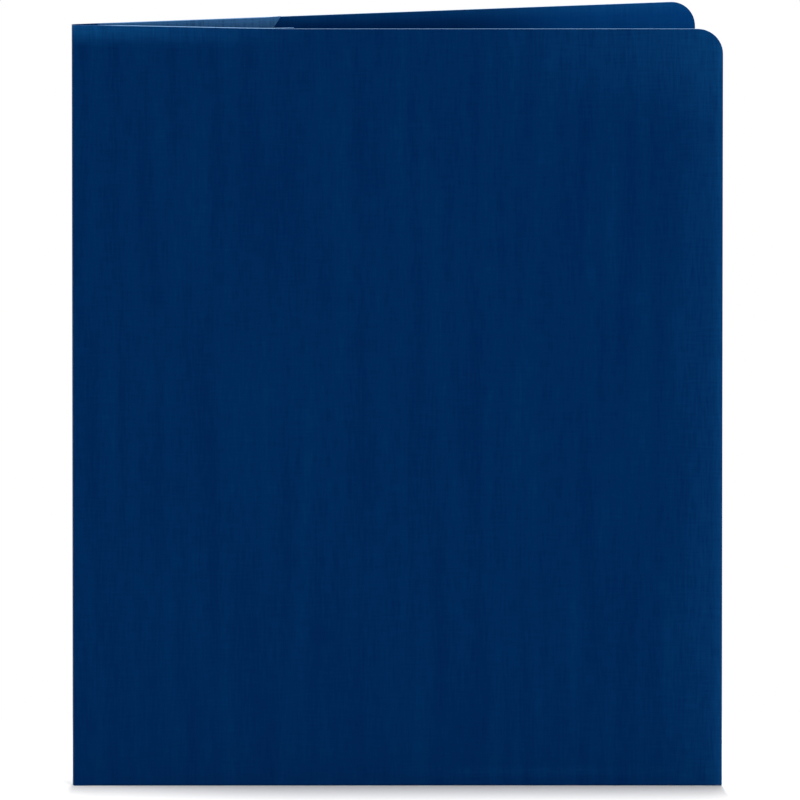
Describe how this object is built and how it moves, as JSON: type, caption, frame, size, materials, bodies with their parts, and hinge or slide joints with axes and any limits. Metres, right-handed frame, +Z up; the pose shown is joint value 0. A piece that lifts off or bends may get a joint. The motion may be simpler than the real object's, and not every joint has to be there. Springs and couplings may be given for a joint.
{
  "type": "two pocket folder",
  "caption": "Letter-size card folder with a contoured pocket folded up inside each cover, covers hinged on scored spine creases, standing slightly open.",
  "frame": {"origin": "on the standing surface, under the middle of the folder's box", "axes": "+Z up along the spine, +X from the spine to the open edges, -Y towards the front cover"},
  "size_m": [0.2394, 0.0818, 0.2858],
  "materials": {
    "cover_card": "satin",
    "pocket_card": "satin",
    "spine_card": "satin",
    "glue": "satin"
  },
  "bodies": {
    "spine": {"spine_panel": "spine_card", "front_spine_crease": "spine_card", "back_spine_crease": "spine_card"},
    "front_cover": {"front_cover": "cover_card", "front_bottom_fold": "cover_card", "front_pocket": "pocket_card", "front_side_fold": "pocket_card", "front_glue_tab": "pocket_card", "front_tab_glue": "glue", "front_cover_bend": "cover_card", "front_pocket_bend": "pocket_card"},
    "back_cover": {"back_cover": "cover_card", "back_bottom_fold": "cover_card", "back_pocket": "pocket_card", "back_side_fold": "pocket_card", "back_glue_tab": "pocket_card", "back_tab_glue": "glue"}
  },
  "joints": [
    {"name": "front_cover_hinge", "type": "hinge", "parent": "spine", "child": "front_cover", "pos_m": [-0.11932, 0.00311, 0], "axis": [0, 0, -1], "range_deg": [-8.2, 166.8]},
    {"name": "back_cover_hinge", "type": "hinge", "parent": "spine", "child": "back_cover", "pos_m": [-0.11932, 0.00631, 0], "axis": [0, 0, 1], "range_deg": [-8.2, 166.8]}
  ]
}
